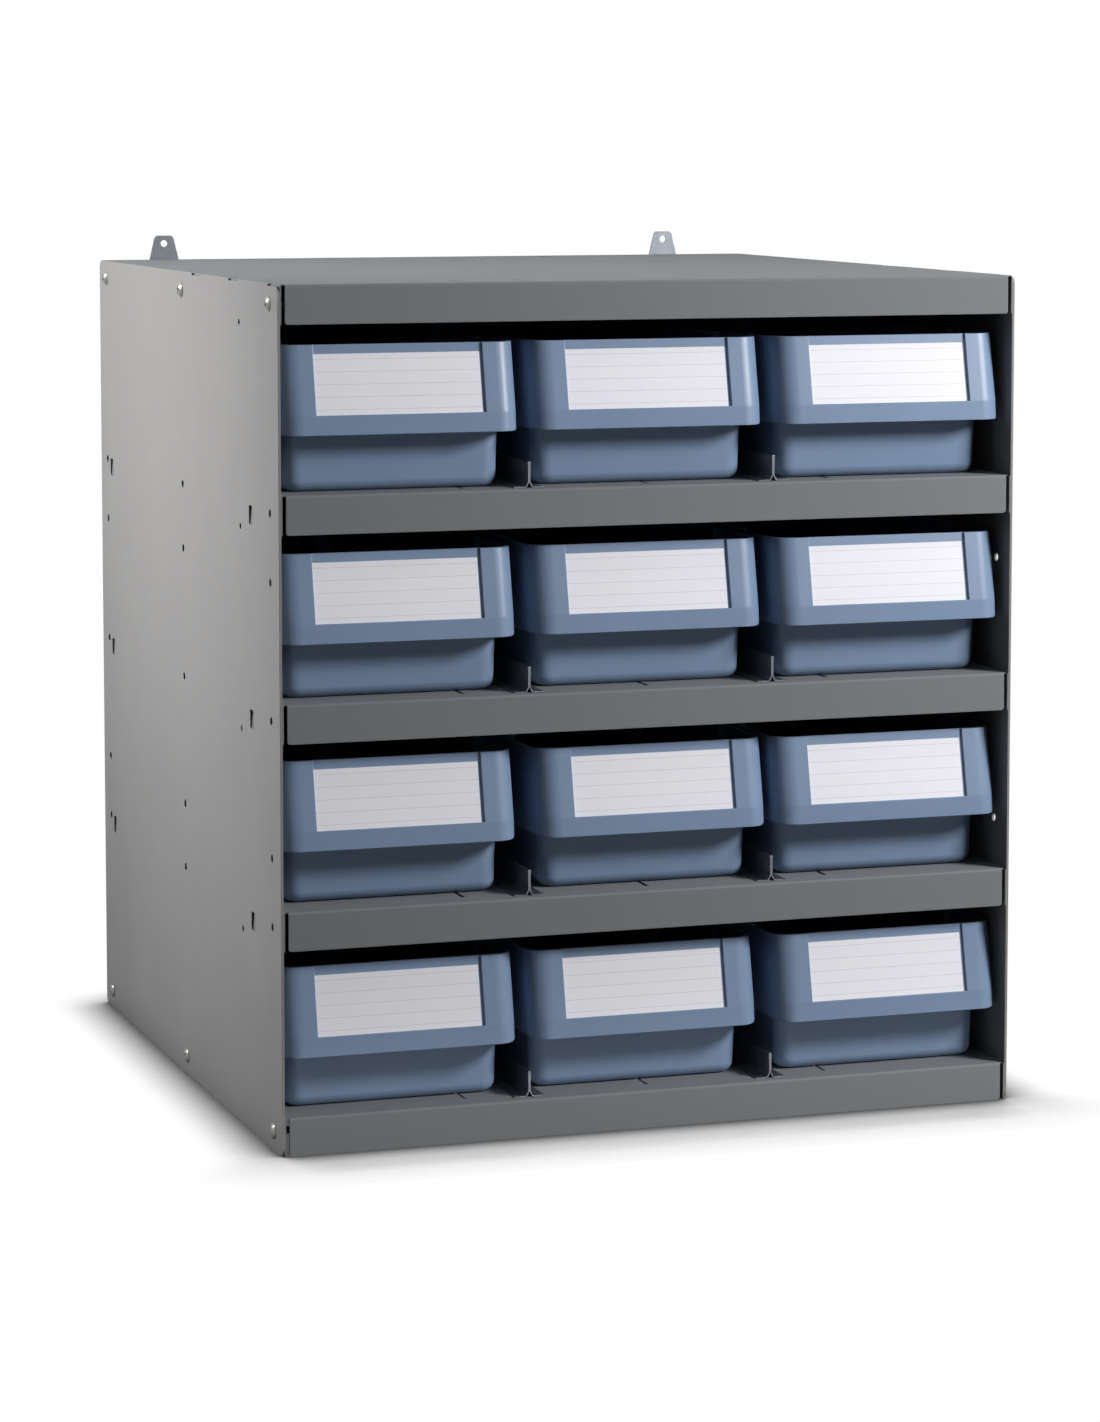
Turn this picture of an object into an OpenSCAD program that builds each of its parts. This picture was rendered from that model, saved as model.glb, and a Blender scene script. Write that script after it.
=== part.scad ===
// Parts bin cabinet: a folded steel carcass with four bays of three sliding plastic bins.
// Millimetres. The origin is the middle of the footprint on the floor, +X is to the right,
// -Y is the front where the bins are pulled out, and +Z is up.

/* [Cabinet] */
// Outer width of the cabinet
cabinet_w = 600; // [570:5:900]
// Outer depth of the cabinet, front edge to back panel
cabinet_d = 600; // [500:10:800]
// Height from one shelf surface to the next
shelf_pitch = 157.5; // [150:0.5:200]
// Thickness of the painted steel sheet
sheet_t = 1; // [0.8:0.1:1.2]
// Outer radius of the sheet's bends
bend_r = 2; // [1.6:0.1:2.5]

/* [Shelf trays] */
// Height of a tray's front lip and of its other flanges
lip_h = 30; // [28:1:36]
// Depth of the stiffening return along the bottom of the lip
lip_return = 12; // [8:1:16]
// Radius of the lip's two lower corners
lip_corner_r = 2.5; // [1:0.5:4]
// Open corner between the end of the lip and the side flange
corner_relief = 2.7; // [1:0.1:3]
// Length of the slots that dividers clip into
slot_len = 27; // [20:1:34]
// Width of those slots
slot_w = 3; // [2.4:0.1:3.6]
// Distance from the front or back face to the nearest end of a slot
slot_inset = 20; // [16:1:28]

/* [Side panels] */
// Width of the folded hem round each side panel
hem_w = 32; // [31:1:34]
// Radius of a side panel's four corners
panel_corner_r = 7; // [4:0.5:10]
// Diameter of the clearance holes for M6 screws
hole_d = 6.5; // [6.3:0.1:7]
// Distance of the front and back hole columns from the panel's edges
hole_inset = 25; // [22:0.5:25]
// Drop from a shelf surface to its row of holes
hole_drop = 15; // [13:0.5:16]
// Spacing between the middle row of holes and the rows half way up the bays
midbay_step = 105; // [100:1:110]
// Diameter of the small holes below each shelf
pilot_d = 5; // [4:0.5:6]
// Depth of the small holes' column from the front edge
pilot_y = 114; // [105:1:125]
// Drop from a shelf surface to the small hole below it
pilot_drop = 32.5; // [32:0.5:38]
// Height of the slots that the shelves hook into
hook_slot_h = 14.5; // [12:0.5:16]
// Width of the hook slots
hook_slot_w = 10.5; // [9:0.5:12]
// Drop from a shelf surface to the top of its hook slots
hook_drop = 14; // [13:0.5:14.5]
// Distance from the front edge to the middle of the front hook slots
hook_front = 82.5; // [60:0.5:95]
// Distance from the back edge to the middle of the back hook slots
hook_back = 41; // [39:0.5:60]
// Length of the notches in the side panels' top edges
notch_len = 28; // [20:1:36]
// Depth of those notches
notch_depth = 1.8; // [1:0.1:2.5]
// Distance from one notch to the next
notch_pitch = 118; // [100:1:140]

/* [Bins] */
// Gap between the fronts of two neighbouring bins
front_gap = 12; // [11:0.5:16]
// Clear height left above a bin
bin_headroom = 16; // [14:0.5:24]
// Wall thickness of a bin
bin_wall = 2.4; // [2:0.1:3]
// Height of the finger gap below a bin's front hood
grip_h = 44; // [38:1:50]
// Setback of the tub behind the hood at the bottom
grip_depth = 28; // [22:1:34]
// Step from the side of the hood in to the tub at its foot
hood_step = 9; // [8:0.5:11]
// Taper of the tub from its rim to its foot, on each side
tub_draft = 3.5; // [2:0.5:4]
// Radius of the hood's upright corners
hood_r = 16; // [14:1:26]
// Radius of the tub's upright corners
tub_r = 13; // [8:1:16]
// Radius along the tub's bottom edges
foot_r = 8; // [6:1:10]
// Length of the hood along the bin
hood_len = 95; // [75:5:120]
// Backward lean of the label face, in degrees
label_lean = 12.4; // [8:0.2:15]
// Backward lean of the band below the label, in degrees
band_lean = 6; // [2:0.5:8]
// Height of the band below the label
band_h = 15; // [10:0.5:18]
// Width of the rim's overhang outside the tub wall
rim_w = 4.5; // [3:0.5:5]
// Height of the rim's outer band
rim_h = 10; // [7:0.5:14]
// Thickness of the rim's outer band
rim_t = 2; // [1.6:0.1:2.4]
// Distance from the cabinet's front face back to a bin pushed home
home_front = 9; // [6:0.5:12]
// Gap behind a bin that is pushed home
home_gap = 3; // [2:0.5:6]

/* [Label cards] */
// Width of a label card
card_w = 130.6; // [110:0.2:134]
// Height of a label card along its slope
card_h = 47; // [38:0.5:49]
// Thickness of a label card
card_t = 0.5; // [0.3:0.1:0.8]
// Extra width of the pocket beside the card
card_play = 2.6; // [1:0.2:5]
// Depth of the label pocket
pocket_depth = 2; // [1.4:0.1:2.6]

/* [Dividers] */
// Width of a divider's foot on the shelf
divider_foot = 25.4; // [20:0.2:26]
// Height of a divider's blade above the shelf
divider_h = 20; // [14:0.5:28]
// Thickness of the zinc-plated sheet
divider_t = 0.9; // [0.7:0.1:1.1]
// Distance from the front or back face to the end of a divider
divider_inset = 9; // [6:0.5:14]

/* [Wall brackets and fasteners] */
// Thickness of the wall bracket
bracket_t = 2; // [1.5:0.1:3]
// Width of the bracket at its widest
bracket_w = 26; // [22:0.5:32]
// Height of the bracket above the cabinet
bracket_rise = 21; // [16:0.5:28]
// Length of the bracket below the cabinet's top
bracket_drop = 40; // [34:1:50]
// Diameter of the bracket's wall hole
wall_hole_d = 6.2; // [5.5:0.1:7]
// Distance from the cabinet's left side to the left bracket
bracket_left = 58; // [40:1:90]
// Distance from the cabinet's right side to the right bracket
bracket_right = 74; // [40:1:90]
// Diameter of a screw's thread
screw_d = 6; // [5:0.1:6]
// Diameter of a screw's domed head
head_d = 12; // [11:0.5:13]
// Height of a screw's domed head
head_h = 3.3; // [2.6:0.1:4]
// Length of a screw below its head
screw_len = 12; // [10:0.5:16]
// Width across the flats of a nut
nut_w = 10; // [9:0.5:11]
// Thickness of a nut
nut_h = 5; // [4:0.2:6]
// Width of a nut's flange beyond its flats
nut_flange = 3; // [2:0.5:4]
// Diameter of a back panel rivet's shank
rivet_d = 4; // [3:0.2:4.8]
// Diameter of a rivet's head
rivet_head_d = 8; // [7:0.2:10]
// Height of a rivet's head
rivet_head_h = 1.2; // [0.8:0.1:1.6]
// Diameter of the bulb that a rivet forms inside
rivet_bulb_d = 6; // [5.4:0.2:7]

/* [Clearances] */
// Running gap between a bin and the shelf below it
bin_gap = 0.3; // [0.2:0.05:0.5]
// Least gap between an outer bin and the side panel's hem
side_gap = 0.5; // [0.3:0.1:1]
// Gap round the tongues that hook into the side panels' slots
tongue_gap = 0.3; // [0.2:0.05:0.5]
// Gap between the back panel and the side panels
back_gap = 0.5; // [0.2:0.1:1]
// Gap between a thread and its nut
thread_gap = 0.05; // [0.02:0.01:0.1]
// Gap between a rivet and its hole
rivet_gap = 0.1; // [0.05:0.05:0.2]
// Gap between a card and the left side of its pocket
card_gap = 0.2; // [0.1:0.1:1]

/* [Hidden] */
$fn = 48;
eps = 0.01;
row_names = ["bottom", "lower", "upper", "top"];
column_names = ["left", "middle", "right"];
divider_names = ["left", "right"];
rows = len(row_names);
columns = len(column_names);

// Sideways play of each bin at rest as a share of what it has, and how far it stands pulled out.
// One line a row from the bottom up, left to right.
bin_play = [[-1, -1, 0.15], [-0.8, 0.9, -0.45], [-1, -0.3, -0.7], [-1, -0.8, -1]];
bin_pull = [[5.5, 2.5, 6], [3, 3.5, 6.5], [5, 2, 9.5], [10.5, 6, 9.5]];

cabinet_h = rows * shelf_pitch + lip_h;
half_w = cabinet_w / 2;
front_y = -cabinet_d / 2;
back_y = cabinet_d / 2;
bay_w = cabinet_w / columns;
stack_t = 2 * sheet_t;

tray_half = half_w - stack_t;
tray_back = back_y - sheet_t;
lip_half = tray_half - sheet_t - corner_relief;
slot_shares = [-3 / 4, -1 / 2, 0, 1 / 2, 3 / 4];
hem_inner_r = 2;
tongue_root = hook_slot_w / 2;
tongue_tip = 1.2;

hole_columns = [front_y + hole_inset, 0, back_y - hole_inset];
mid_z = surface_z(2) - hole_drop;
hook_columns = [front_y + hook_front, back_y - hook_back];

bin_h = shelf_pitch - lip_h - bin_headroom;
bin_len = cabinet_d - sheet_t - home_front - home_gap;
hood_w = bay_w - front_gap;
foot_w = hood_w - 2 * hood_step;
tub_w = foot_w + 2 * tub_draft;
rim_half = tub_w / 2 + rim_w;
free_play = front_gap / 2 - stack_t - side_gap;
band_run = band_h * tan(band_lean);
pocket_w = card_w + card_play;
pocket_z = grip_h + band_h;
hood_front_t = bin_wall + pocket_depth;

bracket_screw_z = cabinet_h - hole_drop;
bracket_places = [-half_w + bracket_left, half_w - bracket_right];
bracket_leg_w = bracket_w - 4.4;
bracket_tip_w = bracket_w - 9;
bracket_chamfer = 2;
wall_hole_drop = 7;
rivet_columns = [-bay_w, 0, bay_w];
rivet_bulb_h = 1.5;
recess_len = 0.45 * head_d;
recess_w = 1.1;
nut_flange_h = 1.2;
tab_drop = 5;
tab_gap = 1.5;
fold_w = 5.2;
fold_h = 4.5;
hood_corner_r = 2;
least_corner_r = 0.5;
band_r_extra = 1.5;

function surface_z(level) = lip_h + level * shelf_pitch;
function bin_name(kind, r, c) = str(kind, "_", row_names[r], "_", column_names[c]);
function divider_name(r, c) = str("divider_", row_names[r], "_", divider_names[c]);
function arc(cx, cz, r, from, to, steps = 6) =
    [for (i = [0:steps]) let (a = from + (to - from) * i / steps) [cx + r * cos(a), cz + r * sin(a)]];

// Flat shapes ---------------------------------------------------------------------------------

// Rectangle with four round corners, centred on X, from y = low to y = high.
module round_rect(w, low, high, r) {
    translate([-w / 2 + r, low]) square([w - 2 * r, high - low]);
    translate([-w / 2, low + r]) square([w, high - low - 2 * r]);
    for (x = [-w / 2 + r, w / 2 - r], y = [low + r, high - r])
        translate([x, y]) circle(r = r);
}

// Upright cross-section with a narrower foot and rounded bottom corners.
module foot_section(left, right, draft_left, draft_right, low, high, r) {
    polygon(concat(
        [[left - draft_left, high], [left, low + r]],
        arc(left + r, low + r, r, 180, 270),
        arc(right - r, low + r, r, 270, 360),
        [[right, low + r], [right + draft_right, high]]));
}

// Points on the YZ plane, extruded along X between two places.
module along_x(from, to) {
    translate([from, 0, 0])
        rotate([90, 0, 90]) linear_extrude(to - from) children();
}

// Points on the XZ plane, extruded along Y between two places.
module along_y(from, to) {
    translate([0, to, 0])
        rotate([90, 0, 0]) linear_extrude(to - from) children();
}

// Round bars along X or Y, used for holes and shanks.
module bar_x(d, from, to) { along_x(from, to) circle(d = d); }
module bar_y(d, from, to) { along_y(from, to) circle(d = d); }

// Fasteners -----------------------------------------------------------------------------------

// Domed screw along +Z, its head below z = 0 and its thread above.
module domed_screw() {
    difference() {
        rotate_extrude() intersection() {
            translate([0, -head_h]) square([head_d / 2, head_h]);
            translate([0, dome_r() - head_h]) circle(r = dome_r(), $fn = 96);
        }
        translate([0, 0, -head_h]) for (turn = [0, 90]) rotate([0, 0, turn])
            cube([recess_len, recess_w, head_h], center = true);
    }
    cylinder(d = screw_d, h = screw_len);
}
function dome_r() = (head_d * head_d / 4 + head_h * head_h) / (2 * head_h);

// Flanged hexagon nut along +Z.
module flanged_nut() {
    difference() {
        union() {
            cylinder(d = nut_w / cos(30), h = nut_h, $fn = 6);
            cylinder(d = nut_w + nut_flange, h = nut_flange_h);
        }
        translate([0, 0, -1]) cylinder(d = screw_d + 2 * thread_gap, h = nut_h + 2);
    }
}

// Places where the side panels are screwed to the bottom and top trays.
module at_side_screws() {
    for (y = hole_columns, z = [lip_h - hole_drop, cabinet_h - hole_drop])
        translate([0, y, z]) children();
}

module side_screws(side) {
    color("gainsboro") at_side_screws()
        translate([side * half_w, 0, 0]) rotate([0, -side * 90, 0]) domed_screw();
}

module side_nuts(side) {
    color("silver") at_side_screws()
        translate([side * (tray_half - sheet_t), 0, 0]) rotate([0, -side * 90, 0]) flanged_nut();
}

module bracket_screws() {
    color("gainsboro") for (x = bracket_places)
        translate([x, back_y + bracket_t, bracket_screw_z])
            rotate([90, 0, 0]) domed_screw();
}

module bracket_nuts() {
    color("silver") for (x = bracket_places)
        translate([x, tray_back - sheet_t, bracket_screw_z])
            rotate([90, 0, 0]) flanged_nut();
}

// Places of the back panel's rivets, one row for each tray.
module at_rivets() {
    for (x = rivet_columns, level = [0:rows])
        translate([x, 0, surface_z(level) - hole_drop]) children();
}

module back_rivets() {
    inside = tray_back - sheet_t;
    color("silver") at_rivets() {
        bar_y(rivet_d, inside - eps, back_y + eps);
        bar_y(rivet_bulb_d, inside - rivet_bulb_h, inside);
        translate([0, back_y, 0]) rotate([-90, 0, 0])
            cylinder(d1 = rivet_head_d, d2 = rivet_head_d * 0.7, h = rivet_head_h);
    }
}

// Carcass -------------------------------------------------------------------------------------

// Holes of a side panel, drilled along X: screw columns, pilot holes and hook slots.
module panel_holes() {
    reach = half_w + 1;
    for (y = hole_columns) {
        for (level = [0:rows])
            translate([0, y, surface_z(level) - hole_drop]) bar_x(hole_d, -reach, reach);
        for (step = [-midbay_step, midbay_step])
            translate([0, y, mid_z + step]) bar_x(hole_d, -reach, reach);
    }
    for (level = [1:rows])
        translate([0, front_y + pilot_y, surface_z(level) - pilot_drop])
            bar_x(pilot_d, -reach, reach);
    for (y = hook_columns, level = [1:rows - 1])
        translate([0, y, surface_z(level) - hook_drop - hook_slot_h])
            along_x(-reach, reach) round_rect(hook_slot_w, 0, hook_slot_h, 1.5);
}

// Side panel: one sheet with its four edges folded in to a hem, on the side given by -1 or 1.
module side_panel(side) {
    color("darkgray") difference() {
        mirror([side > 0 ? 0 : 1, 0, 0]) union() {
            along_x(half_w - sheet_t, half_w)
                round_rect(cabinet_d, 0, cabinet_h, panel_corner_r);
            along_x(half_w - stack_t, half_w - sheet_t + eps) difference() {
                round_rect(cabinet_d, 0, cabinet_h, panel_corner_r);
                round_rect(cabinet_d - 2 * hem_w, hem_w, cabinet_h - hem_w, hem_inner_r);
            }
        }
        panel_holes();
        for (i = [0:2])
            translate([-cabinet_w, front_y + i * notch_pitch, cabinet_h - notch_depth])
                cube([2 * cabinet_w, notch_len, notch_depth + 1]);
    }
}

// Section through a tray from the lower edge of its lip to its flat top, front edge at y = 0.
module lip_section(depth) {
    translate([0, -lip_h]) square([sheet_t, lip_h - bend_r]);
    translate([bend_r, -sheet_t]) square([depth - bend_r, sheet_t]);
    intersection() {
        translate([0, -bend_r]) square(bend_r);
        translate([bend_r, -bend_r]) difference() {
            circle(r = bend_r);
            circle(r = bend_r - sheet_t);
        }
    }
}

// Lip with its round lower corners, its return and the flat top behind it.
module lip_and_top() {
    difference() {
        translate([0, front_y, 0]) along_x(-lip_half, lip_half) lip_section(tray_back - front_y);
        for (side = [0, 1]) mirror([side, 0, 0]) translate([-lip_half, 0, -lip_h])
            along_y(front_y - 1, front_y + bend_r) difference() {
                translate([-1, -1]) square(lip_corner_r + 1);
                translate([lip_corner_r, lip_corner_r]) circle(r = lip_corner_r);
            }
    }
    return_half = lip_half - lip_corner_r;
    translate([-return_half, front_y, -lip_h]) cube([2 * return_half, lip_return, sheet_t]);
}

// Slots along the front and back edges that dividers clip into.
module tray_slots() {
    for (share = slot_shares, y = [front_y + slot_inset, back_y - slot_inset - slot_len])
        translate([share * bay_w - slot_w / 2, y, -2 * sheet_t])
            cube([slot_w, slot_len, 3 * sheet_t]);
}

// Tongues on both side flanges that hook into the side panels' slots.
module hook_tongues() {
    low = -hook_drop - hook_slot_h + tongue_gap;
    high = -hook_drop - tongue_gap;
    edge = -hook_slot_w / 2 + tongue_gap;
    for (side = [0, 1], y = hook_columns)
        mirror([side, 0, 0]) translate([0, y, 0]) along_x(tray_half - sheet_t, half_w)
            polygon([[edge, low], [edge + tongue_root, low], [edge + tongue_tip, high], [edge, high]]);
}

// Folded tray at the level given: the bottom at 0, then the shelves, and the top last.
module tray(level) {
    hooked = level > 0 && level < rows;
    hung = level == rows;
    depth = tray_back - front_y;
    color("dimgray") translate([0, 0, surface_z(level)]) difference() {
        union() {
            lip_and_top();
            for (side = [0, 1]) mirror([side, 0, 0]) translate([-tray_half, front_y, 0]) {
                translate([0, bend_r, -sheet_t])
                    cube([tray_half - lip_half + eps, depth - bend_r, sheet_t]);
                translate([0, 0, -lip_h]) cube([sheet_t, depth, lip_h - sheet_t / 2]);
            }
            translate([-lip_half, tray_back - sheet_t, -lip_h])
                cube([2 * lip_half, sheet_t, lip_h - sheet_t / 2]);
            if (hooked) hook_tongues();
        }
        tray_slots();
        translate([0, 0, -hole_drop]) {
            for (y = hole_columns) translate([0, y, 0]) bar_x(hole_d, -half_w - 1, half_w + 1);
            for (x = rivet_columns) translate([x, 0, 0])
                bar_y(rivet_d + 2 * rivet_gap, tray_back - 5, back_y);
            if (hung) for (x = bracket_places) translate([x, 0, 0])
                bar_y(hole_d, tray_back - 5, back_y);
        }
    }
}

module back_panel() {
    half = tray_half - back_gap;
    color("dimgray") difference() {
        translate([-half, tray_back, back_gap]) cube([2 * half, sheet_t, cabinet_h - 2 * back_gap]);
        at_rivets() bar_y(rivet_d + 2 * rivet_gap, tray_back - 1, back_y + 1);
        for (x = bracket_places) translate([x, 0, bracket_screw_z])
            bar_y(hole_d, tray_back - 1, back_y + 1);
    }
}

// Zinc-plated plate that hangs the cabinet on a wall, clamped behind the back panel.
module wall_bracket(x) {
    top = cabinet_h + bracket_rise;
    low = cabinet_h - bracket_drop;
    neck = (cabinet_h + bracket_screw_z) / 2;
    edge = [[bracket_leg_w / 2, low], [bracket_leg_w / 2, neck], [bracket_w / 2, cabinet_h],
        [bracket_tip_w / 2, top - bracket_chamfer], [bracket_tip_w / 2 - bracket_chamfer, top]];
    color("lightsteelblue") translate([x, 0, 0]) difference() {
        along_y(back_y, back_y + bracket_t)
            polygon(concat(edge, [for (i = [len(edge) - 1:-1:0]) [-edge[i][0], edge[i][1]]]));
        translate([0, 0, top - wall_hole_drop])
            bar_y(wall_hole_d, back_y - 1, back_y + bracket_t + 1);
        translate([0, 0, bracket_screw_z]) bar_y(hole_d, back_y - 1, back_y + bracket_t + 1);
        translate([-hole_d / 2, back_y - 1, low - 1])
            cube([hole_d, bracket_t + 2, bracket_screw_z - low + 1]);
    }
}

// Divider strip: an inverted T folded from one sheet, with tabs down through the tray's slots.
module divider(level, place) {
    blade = 2 * divider_t;
    bead_r = 0.6 * blade;
    x = (place - (columns - 2) / 2) * bay_w;
    color("lightsteelblue") translate([x, 0, surface_z(level)]) {
        along_y(front_y + divider_inset, tray_back - divider_inset) {
            translate([-divider_foot / 2, 0]) square([divider_foot, divider_t]);
            translate([-blade / 2, 0]) square([blade, divider_h - bead_r]);
            polygon([[-fold_w / 2, divider_t - eps], [fold_w / 2, divider_t - eps],
                [blade / 2, fold_h], [-blade / 2, fold_h]]);
            translate([0, divider_h - bead_r]) circle(r = bead_r);
        }
        for (y = [front_y + slot_inset, back_y - slot_inset - slot_len])
            translate([-blade / 2, y + tab_gap, -tab_drop])
                cube([blade, slot_len - 2 * tab_gap, tab_drop + divider_t]);
    }
}

// Bins ----------------------------------------------------------------------------------------
// A bin is drawn with the lowest front edge of its hood at y = 0 and its underside at z = 0.

// Block with round upright corners whose front leans back from the point given.
module leaning_block(w, front, high, lean, depth, r) {
    translate([0, front, high]) rotate([-lean, 0, 0]) translate([0, 0, -bin_h])
        linear_extrude(3 * bin_h) round_rect(w, 0, depth, r);
}

// Outside of the hood, or its hollow when it is drawn in by the wall on every side.
module hood_shape(inset, front_t, low, high, end) {
    w = hood_w - 2 * inset;
    r = hood_r - inset;
    intersection() {
        leaning_block(w, band_run + front_t, pocket_z, label_lean, 2 * hood_len, r);
        leaning_block(w, front_t, grip_h, band_lean, 2 * hood_len, r + band_r_extra);
        translate([-w, -hood_len, low]) cube([2 * w, hood_len + end, high - low]);
        along_y(-hood_len, 2 * hood_len)
            foot_section(-w / 2, w / 2, 0, 0, low, high, max(hood_corner_r - inset, least_corner_r));
    }
}

// Outside of the tub, or its hollow when it is drawn in by the wall on every side.
module tub_shape(inset, low, high) {
    half = foot_w / 2 - inset;
    front = grip_depth + inset;
    back = bin_len - rim_w - inset;
    r = foot_r - inset;
    intersection() {
        translate([0, 0, low]) linear_extrude(high - low)
            round_rect(tub_w - 2 * inset, front - tub_draft / 2, back, tub_r - inset);
        along_y(0, 2 * bin_len) foot_section(-half, half, tub_draft, tub_draft, low, high, r);
        along_x(-bin_len, bin_len) foot_section(front, back, tub_draft / 2, 0, low, high, r);
    }
}

// Turned-down rim that runs round the tub behind the hood.
module tub_rim() {
    low = bin_h - rim_h;
    front = hood_len - 2 * tub_r;
    r = tub_r + rim_w;
    difference() {
        translate([0, 0, low]) linear_extrude(rim_h) round_rect(2 * rim_half, front, bin_len, r);
        translate([0, 0, low - 1]) linear_extrude(rim_h + 1 - bin_wall)
            round_rect(2 * (rim_half - rim_t), front + rim_t, bin_len - rim_t, r - rim_t);
        translate([-hood_w, -1, low - 1]) cube([2 * hood_w, hood_len, rim_h + 2]);
    }
}

module bin_solid() {
    difference() {
        union() {
            hood_shape(0, 0, grip_h, bin_h, hood_len);
            tub_shape(0, 0, bin_h);
            tub_rim();
        }
        hood_shape(bin_wall, hood_front_t, grip_h + bin_wall, bin_h + 1, hood_len - bin_wall);
        tub_shape(bin_wall, bin_wall, bin_h + 1);
        label_pocket();
    }
}

// Places its children on the label face, at the pocket's lower edge, X across and Z up the slope.
module on_label_face() {
    translate([0, band_run, pocket_z]) rotate([-label_lean, 0, 0]) children();
}

module label_pocket() {
    on_label_face() translate([-pocket_w / 2, -5, 0]) cube([pocket_w, 5 + pocket_depth, bin_h]);
}

module label_card() {
    on_label_face()
        translate([-pocket_w / 2 + card_gap, pocket_depth - card_t, 0]) cube([card_w, card_t, card_h]);
}

// Moves its children from a bin's own place to where the bin stands at rest in the cabinet.
module in_bay(r, c) {
    x = (c - (columns - 1) / 2) * bay_w + bin_play[r][c] * free_play;
    y = front_y + home_front - bin_pull[r][c];
    translate([x, y, surface_z(r) + bin_gap]) children();
}

side_panel(-1);  // side_panel_left
side_panel(1);  // side_panel_right
tray(0);  // bottom_tray
tray(1);  // shelf_lower
tray(2);  // shelf_middle
tray(3);  // shelf_upper
tray(4);  // top_tray
back_panel();
wall_bracket(bracket_places[0]);  // wall_bracket_left
wall_bracket(bracket_places[1]);  // wall_bracket_right
bracket_screws();
bracket_nuts();
side_screws(-1);  // side_screws_left
side_screws(1);  // side_screws_right
side_nuts(-1);  // side_nuts_left
side_nuts(1);  // side_nuts_right
back_rivets();

for (r = [0:rows - 1], c = [0:columns - 2])
    divider(r, c);

for (r = [0:rows - 1], c = [0:columns - 1]) {
    color("slategray") in_bay(r, c) bin_solid();
    color("whitesmoke") in_bay(r, c) label_card();
}
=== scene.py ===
"""Parts bin cabinet: a folded steel carcass, twelve moulded bins and their finishes.

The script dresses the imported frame. Sizes in the classes are millimetres in a piece's own
place, and every finished mesh is in metres in the frame's place.
"""
import logging
import math
from dataclasses import dataclass
from enum import Enum
from typing import Any, Iterable

import bmesh
import bpy
from bmesh.types import BMesh, BMVert
from bpy.types import Material, Node, NodeSocket, NodeTree, World
from mathutils import Matrix, Vector


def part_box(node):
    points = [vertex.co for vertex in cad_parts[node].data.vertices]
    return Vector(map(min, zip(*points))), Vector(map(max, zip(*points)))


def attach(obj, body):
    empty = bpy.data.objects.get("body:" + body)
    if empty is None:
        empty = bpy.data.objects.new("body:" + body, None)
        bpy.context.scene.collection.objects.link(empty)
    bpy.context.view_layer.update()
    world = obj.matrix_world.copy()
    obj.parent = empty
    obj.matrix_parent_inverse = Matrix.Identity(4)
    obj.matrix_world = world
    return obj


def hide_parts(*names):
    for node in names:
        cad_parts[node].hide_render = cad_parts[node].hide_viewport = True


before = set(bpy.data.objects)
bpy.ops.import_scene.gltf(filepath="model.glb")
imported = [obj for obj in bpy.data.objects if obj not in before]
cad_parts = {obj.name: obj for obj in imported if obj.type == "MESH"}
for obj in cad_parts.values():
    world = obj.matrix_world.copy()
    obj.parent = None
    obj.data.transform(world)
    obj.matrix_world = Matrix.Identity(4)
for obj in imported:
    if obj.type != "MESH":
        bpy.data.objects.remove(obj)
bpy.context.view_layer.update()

LOG = logging.getLogger("parts_cabinet")
MM = 0.001
PHOTO_LONG_SIDE = 1422
CREASE_ANGLE = 20.0
MERGE_DISTANCE = 1e-4
TO_THE_BACK = Matrix.Rotation(math.radians(-90), 4, "X")
FLOAT = "NodeSocketFloat"
VECTOR = "NodeSocketVector"
COLOUR = "NodeSocketColor"
WHITE = (1.0, 1.0, 1.0, 1.0)

Colour = tuple[float, float, float]
Place = tuple[float, float, float]
Point = tuple[float, float]
Value = NodeSocket | float | tuple[float, ...]


class Row(Enum):
    """Bays of the cabinet, from the floor up."""

    BOTTOM = "bottom"
    LOWER = "lower"
    UPPER = "upper"
    TOP = "top"


class Column(Enum):
    """Bins across a bay."""

    LEFT = "left"
    MIDDLE = "middle"
    RIGHT = "right"


class Side(Enum):
    """The two sides of the cabinet or of a bay."""

    LEFT = "left"
    RIGHT = "right"

    @property
    def sign(self) -> int:
        """Direction of the side along X."""
        return -1 if self is Side.LEFT else 1


class Slot(Enum):
    """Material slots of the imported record."""

    SIDE_PAINT = "side_paint"
    TRAY_PAINT = "tray_paint"
    ZINC_SHEET = "zinc_sheet"
    BRIGHT_ZINC = "bright_zinc"
    BIN_PLASTIC = "bin_plastic"
    CARD = "card"


# Node trees ----------------------------------------------------------------------------------


def empty_tree(owner: Material | World) -> NodeTree:
    """Turns on the nodes of a material or a surround and clears them away.

    Args:
        owner: The material or surround.

    Returns:
        Its empty tree.
    """
    owner.use_nodes = True
    owner.node_tree.nodes.clear()
    return owner.node_tree


def fill(tree: NodeTree, socket: NodeSocket, value: Value) -> None:
    """Links an output to an input socket, or gives the socket a plain value.

    Args:
        tree: The sockets' tree.
        socket: The input socket.
        value: The output socket or the value.
    """
    if isinstance(value, NodeSocket):
        tree.links.new(value, socket)
    else:
        socket.default_value = value


def add_node(tree: NodeTree, kind: str, inputs: dict[int | str, Value] | None = None,
             **settings: Any) -> Node:
    """Adds a node, sets its properties and fills or links its inputs.

    Args:
        tree: The tree that the node goes in.
        kind: The node's type name.
        inputs: Values or output sockets, by input name or number.
        **settings: Properties of the node itself.

    Returns:
        The new node.
    """
    node = tree.nodes.new(kind)
    for name, value in settings.items():
        setattr(node, name, value)
    for key, value in (inputs or {}).items():
        fill(tree, node.inputs[key], value)
    return node


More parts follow.
